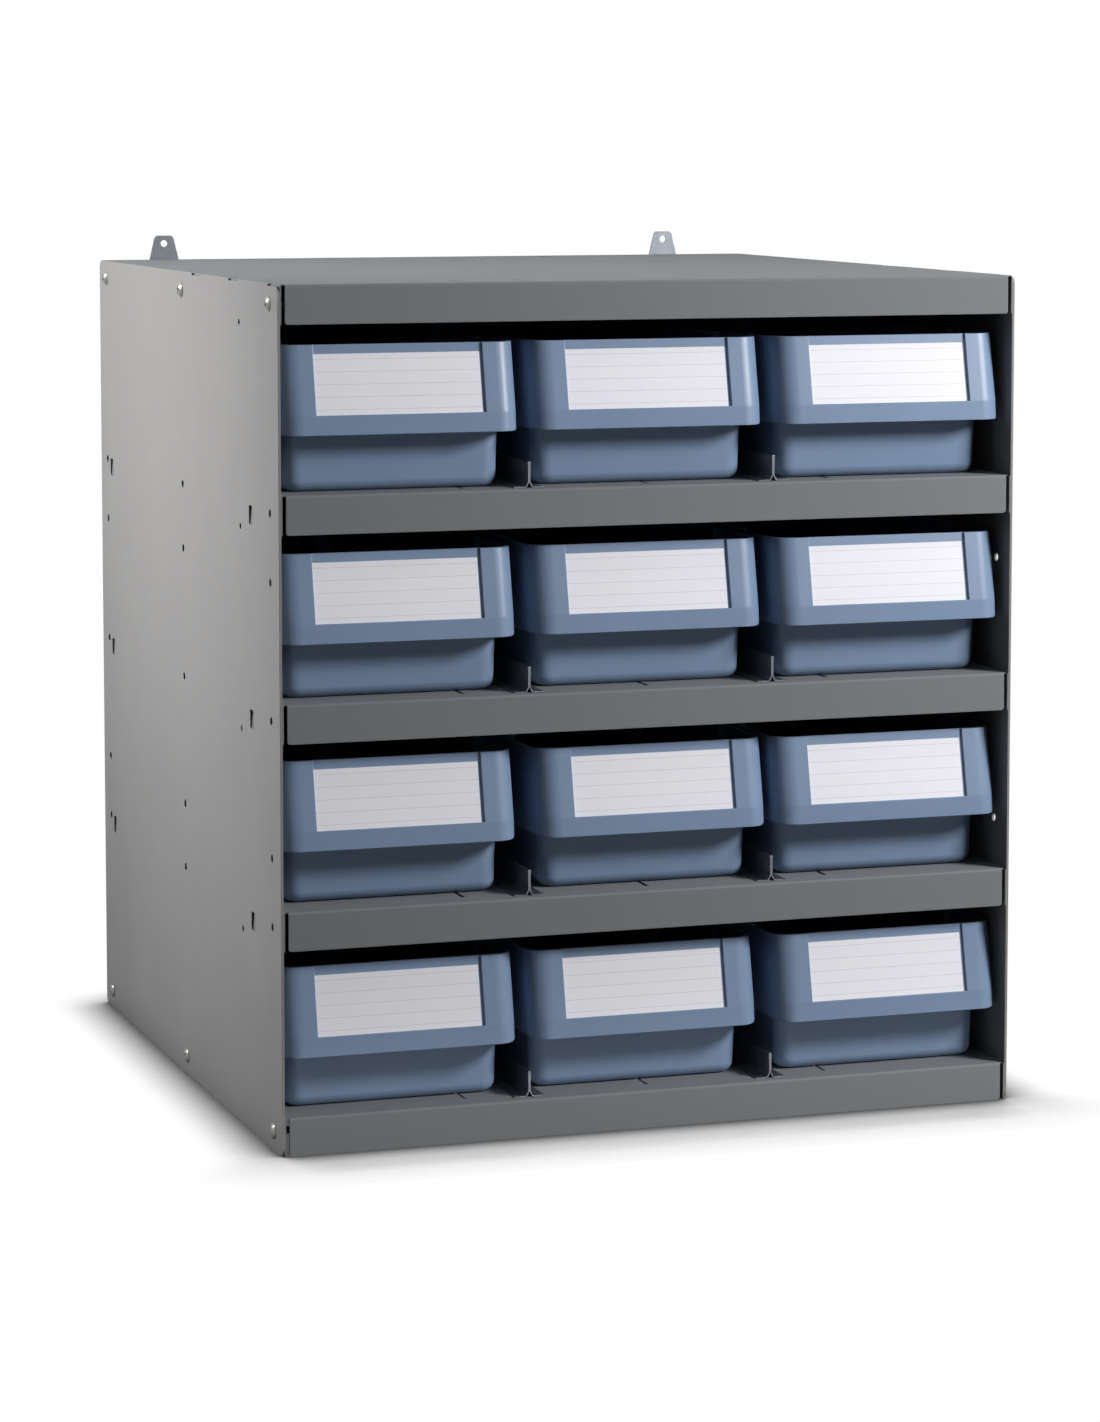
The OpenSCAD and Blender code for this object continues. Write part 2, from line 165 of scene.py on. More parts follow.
def maths(tree: NodeTree, operation: str, *values: Value, clamp: bool = False) -> NodeSocket:
    """Adds a Math node.

    Args:
        tree: The tree that the node goes in.
        operation: What it works out.
        *values: Its inputs, in order.
        clamp: Whether the result stays between 0 and 1.

    Returns:
        The socket with the result.
    """
    return add_node(tree, "ShaderNodeMath", dict(enumerate(values)), operation=operation,
                    use_clamp=clamp).outputs[0]


def new_group(name: str, inputs: dict[str, str], output: str,
              kind: str) -> tuple[NodeTree, Any, NodeSocket]:
    """Starts a shader node group with named sockets.

    Args:
        name: Name of the group.
        inputs: Socket type by input name.
        output: Name of the one output.
        kind: Socket type of the output.

    Returns:
        The group's tree, the sockets that it is given, and the socket of its result.
    """
    tree = bpy.data.node_groups.new(name, "ShaderNodeTree")
    for label, socket_kind in inputs.items():
        tree.interface.new_socket(name=label, in_out="INPUT", socket_type=socket_kind)
    tree.interface.new_socket(name=output, in_out="OUTPUT", socket_type=kind)
    given, result = tree.nodes.new("NodeGroupInput"), tree.nodes.new("NodeGroupOutput")
    return tree, given.outputs, result.inputs[output]


class Effects:
    """Shared effects, each a node group that is built once and used by several finishes."""

    fine_step: float = 3.7
    darkest_mark: float = 0.78

    def __init__(self) -> None:
        """Builds the groups."""
        self.mottle = self._mottle()
        self.patches = self._patches()
        self.relief = self._relief()
        self.hairlines = self._hairlines()

    @staticmethod
    def _noise(tree: NodeTree, vector: NodeSocket, scale: Value, detail: float,
               roughness: float = 0.55) -> NodeSocket:
        """Adds a noise texture.

        Args:
            tree: The group's tree.
            vector: The coordinates.
            scale: Its scale.
            detail: Number of finer layers.
            roughness: Share that each finer layer adds.

        Returns:
            The socket with its value.
        """
        return add_node(tree, "ShaderNodeTexNoise",
                        {"Vector": vector, "Scale": scale, "Detail": detail,
                         "Roughness": roughness}).outputs["Fac"]

    def _mottle(self) -> NodeTree:
        """Makes slow light and dark patches in a colour.

        Returns:
            The group.
        """
        tree, given, result = new_group("mottle", {"Vector": VECTOR, "Colour": COLOUR,
                                                   "Scale": FLOAT, "Amount": FLOAT},
                                        "Colour", COLOUR)
        value = self._noise(tree, given["Vector"], given["Scale"], detail=4.0)
        centred = maths(tree, "SUBTRACT", value, 0.5)
        swing = maths(tree, "MULTIPLY_ADD", centred, given["Amount"], 1.0)
        shaded = add_node(tree, "ShaderNodeHueSaturation",
                          {"Color": given["Colour"], "Value": swing})
        fill(tree, result, shaded.outputs["Color"])
        return tree

    def _patches(self) -> NodeTree:
        """Makes glossier and duller patches, as handling and moulding leave them.

        Returns:
            The group.
        """
        tree, given, result = new_group("gloss_patches", {"Vector": VECTOR, "Roughness": FLOAT,
                                                          "Spread": FLOAT, "Scale": FLOAT},
                                        "Roughness", FLOAT)
        value = self._noise(tree, given["Vector"], given["Scale"], detail=6.0, roughness=0.62)
        centred = maths(tree, "SUBTRACT", value, 0.5)
        total = maths(tree, "MULTIPLY_ADD", centred, given["Spread"], given["Roughness"],
                      clamp=True)
        fill(tree, result, total)
        return tree

    def _relief(self) -> NodeTree:
        """Makes two sizes of soft relief, such as the orange peel of a powder coat.

        Returns:
            The group.
        """
        tree, given, result = new_group("fine_relief", {"Vector": VECTOR, "Scale": FLOAT,
                                                        "Share": FLOAT}, "Height", FLOAT)
        broad = self._noise(tree, given["Vector"], given["Scale"], detail=1.0)
        finer = maths(tree, "MULTIPLY", given["Scale"], self.fine_step)
        fine = self._noise(tree, given["Vector"], finer, detail=2.0)
        fill(tree, result, maths(tree, "MULTIPLY_ADD", fine, given["Share"], broad))
        return tree

    def _hairlines(self) -> NodeTree:
        """Makes sparse hairline marks, drawn out along one direction.

        Returns:
            The group.
        """
        tree, given, result = new_group("hairlines", {"Vector": VECTOR, "Scale": FLOAT,
                                                      "Stretch": VECTOR, "Cover": FLOAT},
                                        "Mask", FLOAT)
        drawn = add_node(tree, "ShaderNodeVectorMath", {0: given["Vector"], 1: given["Stretch"]},
                         operation="MULTIPLY")
        value = self._noise(tree, drawn.outputs[0], given["Scale"], detail=3.0, roughness=0.7)
        faintest = maths(tree, "SUBTRACT", 1.0, given["Cover"])
        mask = add_node(tree, "ShaderNodeMapRange", {"Value": value, "From Min": faintest,
                                                     "From Max": self.darkest_mark})
        fill(tree, result, mask.outputs["Result"])
        return tree


class Look:
    """A material in the making, with its shader and the Object coordinates."""

    edge_samples: int = 6

    def __init__(self, name: str) -> None:
        """Starts a node material with one shader.

        Args:
            name: Name of the material.
        """
        self.material = bpy.data.materials.new(name)
        self.tree = empty_tree(self.material)
        self.shader = add_node(self.tree, "ShaderNodeBsdfPrincipled")
        add_node(self.tree, "ShaderNodeOutputMaterial", {"Surface": self.shader.outputs[0]})
        self.place = add_node(self.tree, "ShaderNodeTexCoord").outputs["Object"]

    def feed(self, name: str, value: Value) -> None:
        """Fills or links one of the shader's inputs."""
        fill(self.tree, self.shader.inputs[name], value)

    def use(self, group: NodeTree, **inputs: Value) -> NodeSocket:
        """Places a shared effect on the Object coordinates.

        Args:
            group: The effect.
            **inputs: Its other inputs, by name.

        Returns:
            Its output.
        """
        return add_node(self.tree, "ShaderNodeGroup", {"Vector": self.place, **inputs},
                        node_tree=group).outputs[0]

    def blend(self, mask: Value, low: Value, high: Value) -> NodeSocket:
        """Mixes two colours by a mask.

        Args:
            mask: Share of the second colour.
            low: The first colour.
            high: The second colour.

        Returns:
            The socket with the mixed colour.
        """
        node = add_node(self.tree, "ShaderNodeMix", {0: mask, 6: low, 7: high},
                        data_type="RGBA")
        return node.outputs[2]

    def bump(self, height: Value, depth_mm: float, strength: float, edge_mm: float = 0.0) -> None:
        """Gives the shader a relief, on edges that look rounded where a radius is given.

        Args:
            height: The socket with the relief's height.
            depth_mm: Depth of the relief.
            strength: How strongly it shows.
            edge_mm: Radius of the edges, or 0 to leave them.
        """
        node = add_node(self.tree, "ShaderNodeBump",
                        {"Height": height, "Distance": depth_mm * MM, "Strength": strength})
        if edge_mm:
            soft = add_node(self.tree, "ShaderNodeBevel", {"Radius": edge_mm * MM},
                            samples=self.edge_samples)
            fill(self.tree, node.inputs["Normal"], soft.outputs["Normal"])
        self.feed("Normal", node.outputs["Normal"])


# Finishes ------------------------------------------------------------------------------------


@dataclass(frozen=True, kw_only=True)
class Finish:
    """A finish with a mottled colour, patches of gloss and a fine relief."""

    slot: Slot
    colour: Colour
    mottle_scale: float
    mottle_amount: float
    roughness: float
    spread: float
    patch_scale: float
    relief_scale: float
    relief_share: float
    relief_depth: float
    relief_strength: float
    edge: float = 0.0
    specular: float = 0.5
    metallic: float = 0.0

    def build(self, effects: Effects) -> Material:
        """Makes the material.

        Args:
            effects: The shared node groups.

        Returns:
            The finished material.
        """
        look = Look(self.slot.value)
        base = look.use(effects.mottle, Colour=(*self.colour, 1), Scale=self.mottle_scale,
                        Amount=self.mottle_amount)
        look.feed("Base Color", self.pattern(look, effects, base))
        look.feed("Roughness", look.use(effects.patches, Roughness=self.roughness,
                                        Spread=self.spread, Scale=self.patch_scale))
        relief = look.use(effects.relief, Scale=self.relief_scale, Share=self.relief_share)
        look.bump(relief, self.relief_depth, self.relief_strength, self.edge)
        look.feed("Specular IOR Level", self.specular)
        look.feed("Metallic", self.metallic)
        return look.material

    def pattern(self, look: Look, effects: Effects, base: NodeSocket) -> NodeSocket:
        """Returns the colour with nothing on it."""
        return base


@dataclass(frozen=True, kw_only=True)
class MarkedFinish(Finish):
    """A finish that handling has marked with faint hairlines."""

    mark: Colour
    mark_scale: float
    mark_share: float
    stretch: tuple[float, float, float]
    mark_cover: float = 0.3

    def pattern(self, look: Look, effects: Effects, base: NodeSocket) -> NodeSocket:
        """Puts the hairlines over the colour.

        Args:
            look: The material in the making.
            effects: The shared node groups.
            base: The plain colour.

        Returns:
            The marked colour.
        """
        marks = look.use(effects.hairlines, Scale=self.mark_scale, Stretch=self.stretch,
                         Cover=self.mark_cover)
        faint = maths(look.tree, "MULTIPLY", marks, self.mark_share)
        return look.blend(faint, base, (*self.mark, 1))


@dataclass(frozen=True, kw_only=True)
class PowderCoat(MarkedFinish):
    """Baked paint on sheet steel, with a faint orange peel."""

    mottle_scale: float = 4.5
    mottle_amount: float = 0.10
    spread: float = 0.16
    patch_scale: float = 16.0
    relief_scale: float = 520.0
    relief_share: float = 0.3
    relief_depth: float = 0.02
    relief_strength: float = 0.5
    mark_scale: float = 34.0
    mark_share: float = 0.12


@dataclass(frozen=True, kw_only=True)
class MouldedPlastic(MarkedFinish):
    """Blue-grey polypropylene with a fine spark-eroded texture and faint flow marks."""

    colour: Colour = (0.19, 0.265, 0.395)
    mottle_scale: float = 11.0
    mottle_amount: float = 0.16
    roughness: float = 0.36
    spread: float = 0.14
    patch_scale: float = 22.0
    relief_scale: float = 1500.0
    relief_share: float = 0.4
    relief_depth: float = 0.012
    relief_strength: float = 0.4
    specular: float = 0.3
    mark: Colour = (0.28, 0.36, 0.48)
    mark_scale: float = 60.0
    mark_share: float = 0.16
    stretch: tuple[float, float, float] = (10.0, 1.0, 1.0)


@dataclass(frozen=True, kw_only=True)
class BrightZinc(Finish):
    """Plated screws, nuts and rivets: shiny, a little uneven, duller in patches."""

    colour: Colour = (0.27, 0.265, 0.255)
    mottle_scale: float = 420.0
    mottle_amount: float = 0.45
    roughness: float = 0.34
    spread: float = 0.3
    patch_scale: float = 380.0
    relief_scale: float = 900.0
    relief_share: float = 0.5
    relief_depth: float = 0.02
    relief_strength: float = 0.35
    metallic: float = 0.5


@dataclass(frozen=True, kw_only=True)
class RuledCard(Finish):
    """White card with fine dotted writing lines at even heights above each shelf."""

    colour: Colour = (0.88, 0.88, 0.93)
    mottle_scale: float = 240.0
    mottle_amount: float = 0.06
    roughness: float = 0.62
    spread: float = 0.12
    patch_scale: float = 90.0
    relief_scale: float = 2200.0
    relief_share: float = 0.6
    relief_depth: float = 0.01
    relief_strength: float = 0.3
    specular: float = 0.1
    ink: Colour = (0.53, 0.53, 0.59)
    shelf_pitch: float = 157.5
    first_line: float = 93.2
    line_pitch: float = 9.35
    line_count: int = 5
    line_t: float = 0.35
    dot_pitch: float = 1.6
    dot_share: float = 0.62

    def pattern(self, look: Look, effects: Effects, base: NodeSocket) -> NodeSocket:
        """Prints the writing lines on the card.

        Args:
            look: The material in the making.
            effects: The shared node groups; not used.
            base: The plain colour.

        Returns:
            The ruled colour.
        """
        tree = look.tree
        axes = add_node(tree, "ShaderNodeSeparateXYZ", {0: look.place}).outputs
        height = maths(tree, "MULTIPLY_ADD", axes["Z"], 1 / MM, -self.first_line)
        above = maths(tree, "FLOORED_MODULO", height, self.shelf_pitch)
        in_card = maths(tree, "LESS_THAN", above, (self.line_count - 0.5) * self.line_pitch)
        near = maths(tree, "FLOORED_MODULO", above, self.line_pitch)
        line = maths(tree, "LESS_THAN", near, self.line_t)
        across = maths(tree, "MULTIPLY", axes["X"], 1 / (self.dot_pitch * MM))
        dot = maths(tree, "LESS_THAN", maths(tree, "FRACT", across), self.dot_share)
        dotted = maths(tree, "MULTIPLY", line, dot)
        return look.blend(maths(tree, "MULTIPLY", dotted, in_card), base, (*self.ink, 1))


@dataclass(frozen=True, kw_only=True)
class SpangledZinc:
    """Hot-dipped sheet: angular crystals that each catch the light a little differently."""

    slot: Slot
    dark: Colour = (0.02, 0.027, 0.035)
    light: Colour = (0.36, 0.385, 0.42)
    spangle_scale: float = 330.0
    warp_scale: float = 190.0
    mottle_scale: float = 60.0
    mottle_amount: float = 0.5
    least_roughness: float = 0.30
    spread: float = 0.22
    relief_depth: float = 0.03
    relief_strength: float = 0.25
    metallic: float = 0.92

    def build(self, effects: Effects) -> Material:
        """Makes the material.

        Args:
            effects: The shared node groups.

        Returns:
            The finished material.
        """
        look = Look(self.slot.value)
        warp = add_node(look.tree, "ShaderNodeTexNoise",
                        {"Vector": look.place, "Scale": self.warp_scale, "Detail": 2.0})
        bent = add_node(look.tree, "ShaderNodeVectorMath",
                        {0: warp.outputs["Color"], 1: look.place, 2: look.place},
                        operation="MULTIPLY_ADD")
        cells = add_node(look.tree, "ShaderNodeTexVoronoi",
                         {"Vector": bent.outputs[0], "Scale": self.spangle_scale})
        tone = add_node(look.tree, "ShaderNodeSeparateColor", {0: cells.outputs["Color"]}).outputs
        crystal = look.blend(tone[0], (*self.dark, 1), (*self.light, 1))
        look.feed("Base Color", look.use(effects.mottle, Colour=crystal, Scale=self.mottle_scale,
                                         Amount=self.mottle_amount))
        look.feed("Roughness", maths(look.tree, "MULTIPLY_ADD", tone[1], self.spread,
                                     self.least_roughness))
        look.bump(tone[2], self.relief_depth, self.relief_strength)
        look.feed("Metallic", self.metallic)
        return look.material


def finishes() -> list[Finish | SpangledZinc]:
    """Lists the finishes, one for each slot of the record.

    Returns:
        The finishes, in the record's order of slots.
    """
    return [
        PowderCoat(slot=Slot.SIDE_PAINT, colour=(0.265, 0.26, 0.257), mark=(0.35, 0.345, 0.34),
                   roughness=0.52, specular=0.14, edge=0.45, stretch=(1.0, 1.0, 14.0)),
        PowderCoat(slot=Slot.TRAY_PAINT, colour=(0.203, 0.215, 0.224), mark=(0.28, 0.30, 0.31),
                   roughness=0.70, specular=0.12, edge=0.9, stretch=(14.0, 1.0, 1.0)),
        SpangledZinc(slot=Slot.ZINC_SHEET),
        BrightZinc(slot=Slot.BRIGHT_ZINC),
        MouldedPlastic(slot=Slot.BIN_PLASTIC),
        RuledCard(slot=Slot.CARD),
    ]


# Meshes --------------------------------------------------------------------------------------


def arc(centre: Point, radius: float, start: float, end: float, steps: int) -> list[Point]:
    """Points along a circle's arc.

    Args:
        centre: Centre of the circle.
        radius: Its radius.
        start: Angle of the first point, in degrees.
        end: Angle of the last point, in degrees.
        steps: Number of stretches between the points.

    Returns:
        The points, as pairs.
    """
    turns = [math.radians(start + (end - start) * i / steps) for i in range(steps + 1)]
    return [(centre[0] + radius * math.cos(t), centre[1] + radius * math.sin(t)) for t in turns]


def grow_ring(bm: BMesh, ring: list[BMVert], places: Iterable[Vector]) -> list[BMVert]:
    """Extrudes a closed ring of vertices and puts the new ring in its places.

    Args:
        bm: The mesh.
        ring: The last ring, in order.
        places: Where the new ring's vertices go, in the same order.

    Returns:
        The new ring.
    """
    pairs = zip(ring, ring[1:] + ring[:1])
    edges = [bm.edges.get(pair) for pair in pairs]
    made = bmesh.ops.extrude_edge_only(bm, edges=edges)["geom"]
    fresh = {v for v in made if isinstance(v, BMVert)}
    following = [next(e.other_vert(v) for e in v.link_edges if e.other_vert(v) in fresh)
                 for v in ring]
    for vert, place in zip(following, places):
        vert.co = place
    return following


def close_ring(bm: BMesh, ring: list[BMVert]) -> None:
    """Fills a ring with one face."""
    edges = [bm.edges.get(pair) for pair in zip(ring, ring[1:] + ring[:1])]
    bmesh.ops.contextual_create(bm, geom=edges)


def loft(rings: list[list[Vector]]) -> BMesh:
    """Makes a closed skin through rings that have equally many points.

    Args:
        rings: The rings, from one end to the other.

    Returns:
        The mesh, with its doubles merged and its faces pointing outwards.
    """
    bm = bmesh.new()
    ring = bmesh.ops.create_circle(bm, segments=len(rings[0]), radius=1.0)["verts"]
    ring.sort(key=lambda v: math.atan2(v.co.y, v.co.x))
    for vert, place in zip(ring, rings[0]):
        vert.co = place
    first = ring
    for places in rings[1:]:
        ring = grow_ring(bm, ring, places)
    close_ring(bm, first)
    close_ring(bm, ring)
    bmesh.ops.remove_doubles(bm, verts=bm.verts, dist=MERGE_DISTANCE)
    bmesh.ops.recalc_face_normals(bm, faces=bm.faces)
    return bm


def lathe(profile: list[Point], segments: int) -> BMesh:
    """Turns a profile of radius and height round Z.

    Args:
        profile: Points of the profile, both ends on the axis.
        segments: Number of steps in a full turn.

    Returns:
        The closed mesh.
    """
    bm = bmesh.new()
    verts = [bm.verts.new((r, 0.0, z)) for r, z in profile]
    edges = [bm.edges.new(pair) for pair in zip(verts, verts[1:])]
    bmesh.ops.spin(bm, geom=verts + edges, cent=(0, 0, 0), axis=(0, 0, 1),
                   angle=math.tau, steps=segments, use_merge=True)
    bmesh.ops.remove_doubles(bm, verts=bm.verts, dist=MERGE_DISTANCE)
    bmesh.ops.recalc_face_normals(bm, faces=bm.faces)
    return bm


def block(bm: BMesh, low: Vector, high: Vector, bevel: float) -> None:
    """Adds a box between two corners, with its edges eased.

    Args:
        bm: The mesh.
        low: The lower corner.
        high: The upper corner.
        bevel: Width of the bevel on its edges.
    """
    size = high - low
    matrix = Matrix.Translation((low + high) / 2) @ Matrix.Diagonal((*size, 1.0))
    verts = bmesh.ops.create_cube(bm, size=1.0, matrix=matrix)["verts"]
    edges = list(dict.fromkeys(e for v in verts for e in v.link_edges))
    bmesh.ops.bevel(bm, geom=edges, offset=bevel, affect="EDGES", segments=2, profile=0.5,
                    material=-1)


def join(target: BMesh, source: BMesh, matrix: Matrix) -> None:
    """Adds a transformed copy of one mesh to another.

    Args:
        target: The mesh that grows.
        source: The mesh that is copied.
        matrix: Where the copy goes.
    """
    copy = source.copy()
    bmesh.ops.transform(copy, matrix=matrix, verts=copy.verts)
    scratch = bpy.data.meshes.new("scratch")
    copy.to_mesh(scratch)
    copy.free()
    target.from_mesh(scratch)
    bpy.data.meshes.remove(scratch)


class Dresser:
    """Turns meshes into pieces of the scene, and dresses the frame's own nodes."""

    def __init__(self, materials: dict[Slot, Material]) -> None:
        """Keeps the materials.

        Args:
            materials: The material of each slot.
        """
        self.materials = materials

    def piece(self, name: str, bm: BMesh, place: Matrix, slot: Slot, body: str,
              nodes: Iterable[str]) -> bpy.types.Object:
        """Makes a finished object from a mesh in millimetres.

        Args:
            name: Name of the object.
            bm: The mesh, which is left as it was.
            place: Where the piece goes, in metres.
            slot: The finish.
            body: The body that it moves with.
            nodes: The frame's nodes that it stands for.

        Returns:
            The object.
        """
        mesh = bpy.data.meshes.new(name)
        bm.to_mesh(mesh)
        mesh.transform(place @ Matrix.Scale(MM, 4))
        mesh.polygons.foreach_set("use_smooth", [True] * len(mesh.polygons))
        mesh.set_sharp_from_angle(angle=math.radians(CREASE_ANGLE))
        mesh.materials.append(self.materials[slot])
        piece = bpy.data.objects.new(name, mesh)
        bpy.context.scene.collection.objects.link(piece)
        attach(piece, body)
        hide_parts(*nodes)
        LOG.info("made %s on %s", name, body)
        return piece

    def dress(self, node: str, slot: Slot) -> None:
        """Gives one of the frame's own nodes its finish.

        Args:
            node: Name of the node.
            slot: The finish.
        """
        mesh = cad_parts[node].data
        mesh.materials.clear()
        mesh.materials.append(self.materials[slot])
        LOG.info("dressed %s", node)

    @staticmethod
    def ease(piece: bpy.types.Object, width_mm: float, segments: int = 2,
             angle: float = 28.0) -> None:
        """Rounds a piece's sharp edges with a live bevel.

        Args:
            piece: The object.
            width_mm: Width of the bevel.
            segments: Number of its steps.
            angle: Least angle of an edge that is rounded, in degrees.
        """
        mod = piece.modifiers.new("eased_edges", "BEVEL")
        mod.width = width_mm * MM
        mod.segments = segments
        mod.limit_method = "ANGLE"
        mod.angle_limit = math.radians(angle)
        mod.profile = 0.5
        mod.use_clamp_overlap = False
        even = piece.modifiers.new("flat_faces", "WEIGHTED_NORMAL")
        even.mode = "FACE_AREA"
        even.weight = 50
        even.keep_sharp = False


# Bins ----------------------------------------------------------------------------------------


@dataclass(frozen=True)
class Level:
    """One closed outline of a bin seen from above, in millimetres."""

    z: float
    front: float
    half_front: float
    r_front: float
    half_back: float
    back: float
    r_back: float
    step: float
    recess: float = 0.0


@dataclass
class Bin:
    """A moulded bin: a long tub whose front carries an overhanging hood with a label pocket."""

    length: float
    width: float
    height: float
    wall: float = 2.4
    grip_h: float = 44.0
    grip_depth: float = 28.0
    hood_step: float = 9.0
    tub_draft: float = 3.5
    hood_r: float = 16.0
    hood_corner_r: float = 2.0
    tub_r: float = 13.0
    foot_r: float = 8.0
    hood_len: float = 95.0
    band_h: float = 15.0
    band_lean: float = 6.0
    label_lean: float = 12.4
    rim_w: float = 4.5
    rim_h: float = 10.0
    pocket_w: float = 133.2
    pocket_depth: float = 2.0
    corner_steps: int = 9
    card_w: float = 130.6
    card_h: float = 47.0
    card_t: float = 0.5
    card_gap: float = 0.2
    edge_bevel: float = 0.4
    pocket_draft: float = 0.5
    flat_run: float = 1.2
    least_r: float = 3.0
    foot_steps: int = 5
    inner_foot_steps: int = 4
    hood_corner_steps: int = 3
    edge_steps: int = 3
    card_bevel: float = 0.12

    @property
    def pocket_z(self) -> float:
        """Height of the pocket's lower edge."""
        return self.grip_h + self.band_h

    @property
    def band_run(self) -> float:
        """How far back the lower band leans."""
        return self.band_h * math.tan(math.radians(self.band_lean))

    @property
    def tub_back(self) -> float:
        """Back of the tub under the rim."""
        return self.length - self.rim_w

    def tub_half(self, z: float) -> float:
        """Half the tub's width at a height."""
        return self.width / 2 - self.hood_step + self.tub_draft * z / self.height

    def tub_front(self, z: float) -> float:
        """Place of the tub's front wall at a height."""
        return self.grip_depth - self.tub_draft / 2 * z / self.height

    def face(self, z: float) -> float:
        """Place of the hood's front face.

        Args:
            z: The height.

        Returns:
            How far back the face lies at that height.
        """
        if z <= self.pocket_z:
            return (z - self.grip_h) * math.tan(math.radians(self.band_lean))
        return self.band_run + (z - self.pocket_z) * math.tan(math.radians(self.label_lean))

    def tub_level(self, z: float, inset: float) -> Level:
        """Outline of the tub alone.

        Args:
            z: Its height.
            inset: How far it is drawn in on every side.

        Returns:
            The outline.
        """
        half = self.tub_half(z) - inset
        radius = max(self.tub_r - inset, self.least_r)
        return Level(z, self.tub_front(z) + inset, half, radius, half, self.tub_back - inset,
                     radius, self.hood_len - inset)

    def hood_level(self, z: float, draw_in: float = 0.0, recess: float = 0.0,
                   rim: bool = False) -> Level:
        """Outline of the hood's outside with the tub or the rim behind it.

        Args:
            z: Its height.
            draw_in: How far the hood's sides are drawn in.
            recess: How far the pocket lies behind the hood's face.
            rim: Whether the rim stands behind the hood.

        Returns:
            The outline.
        """
        half = self.width / 2 - draw_in
        back_half = self.tub_half(self.height) + self.rim_w if rim else self.tub_half(z)
        back = self.length if rim else self.tub_back
        radius = self.tub_r + (self.rim_w if rim else 0.0)
        return Level(z, self.face(z), half, self.hood_r - draw_in, back_half, back, radius,
                     self.hood_len, recess)

    def inner_hood_level(self, z: float) -> Level:
        """Outline of the hollow inside the hood and the tub behind it.

        Args:
            z: Its height.

        Returns:
            The outline.
        """
        half = self.width / 2 - self.wall
        front = self.face(z) + self.wall + self.pocket_depth
        radius = self.tub_r - self.wall
        return Level(z, front, half, self.hood_r - self.wall, self.tub_half(z) - self.wall,
                     self.tub_back - self.wall, radius, self.hood_len - self.wall)

    def foot_levels(self, base: float, inset: float, radius: float, steps: int) -> list[Level]:
        """Outlines round the rounded bottom edge, from the floor up.

        Args:
            base: Height of the lowest one.
            inset: How far the highest one is drawn in.
            radius: Radius of the edge.
            steps: Number of steps from the lowest to the highest.

        Returns:
            The outlines.
        """
        levels = []
        for i in range(steps + 1):
            turn = math.radians(90 * i / steps)
            z = base + radius * (1 - math.cos(turn))
            levels.append(self.tub_level(z, inset + radius * (1 - math.sin(turn))))
        return levels

    def outline_levels(self) -> list[Level]:
        """Lists every outline, up the outside and down the inside.

        Returns:
            The outlines, from the underside to the floor of the hollow.
        """
        recess = self.pocket_depth / math.cos(math.radians(self.label_lean))
        rim_low = self.height - self.rim_h
        outside = self.foot_levels(0.0, 0.0, self.foot_r, self.foot_steps)
        outside.append(self.tub_level(self.grip_h, 0.0))
        for i in range(self.hood_corner_steps + 1):
            turn = math.radians(90 * i / self.hood_corner_steps)
            z = self.grip_h + self.hood_corner_r * (1 - math.cos(turn))
            outside.append(self.hood_level(z, self.hood_corner_r * (1 - math.sin(turn))))
        crease = self.pocket_z
        outside += [self.hood_level(crease - self.flat_run), self.hood_level(crease),
                    self.hood_level(crease, recess=recess),
                    self.hood_level(crease + self.flat_run, recess=recess),
                    self.hood_level(rim_low, recess=recess),
                    self.hood_level(rim_low, recess=recess, rim=True),
                    self.hood_level(self.height, recess=recess, rim=True)]
        ledge = self.grip_h + self.wall
        inside = [self.inner_hood_level(z) for z in (self.height, self.pocket_z, ledge)]
        inside.append(self.tub_level(ledge, self.wall))
        foot = self.foot_levels(self.wall, self.wall, self.foot_r - self.wall,
                                self.inner_foot_steps)
        return outside + inside + foot[::-1]

    def ring(self, level: Level) -> list[Vector]:
        """Points of one outline.

        Args:
            level: The outline.

        Returns:
            The points, anticlockwise seen from above.
        """
        steps = self.corner_steps
        hf, rf, hb, rb = level.half_front, level.r_front, level.half_back, level.r_back
        edge, dip = self.pocket_w / 2, level.front + level.recess
        flat = self.flat_run
        points = [(-hf, level.front + rf + flat)]
        points += arc((-hf + rf, level.front + rf), rf, 180, 270, steps)
        points += [(-hf + rf + flat, level.front), (-edge, level.front),
                   (-edge + self.pocket_draft, dip), (edge - self.pocket_draft, dip),
                   (edge, level.front), (hf - rf - flat, level.front)]
        points += arc((hf - rf, level.front + rf), rf, 270, 360, steps)
        points += [(hf, level.front + rf + flat), (hf, level.step), (hb, level.step)]
        points += arc((hb - rb, level.back - rb), rb, 0, 90, steps)
        points += arc((-hb + rb, level.back - rb), rb, 90, 180, steps)
        points += [(-hb, level.step), (-hf, level.step)]
        return [Vector((x, y, level.z)) for x, y in points]

    def shell(self) -> BMesh:
        """Makes the bin's skin in its own place."""
        return loft([self.ring(level) for level in self.outline_levels()])

    def card(self) -> BMesh:
        """Makes the label card where it stands in the pocket.

        Returns:
            The mesh.
        """
        bm = bmesh.new()
        left = -self.pocket_w / 2 + self.card_gap
        block(bm, Vector((left, self.pocket_depth - self.card_t, 0.0)),
              Vector((left + self.card_w, self.pocket_depth, self.card_h)), self.card_bevel)
        slope = (Matrix.Translation((0.0, self.band_run, self.pocket_z))
                 @ Matrix.Rotation(math.radians(-self.label_lean), 4, "X"))
        bmesh.ops.transform(bm, matrix=slope, verts=bm.verts)
        return bm


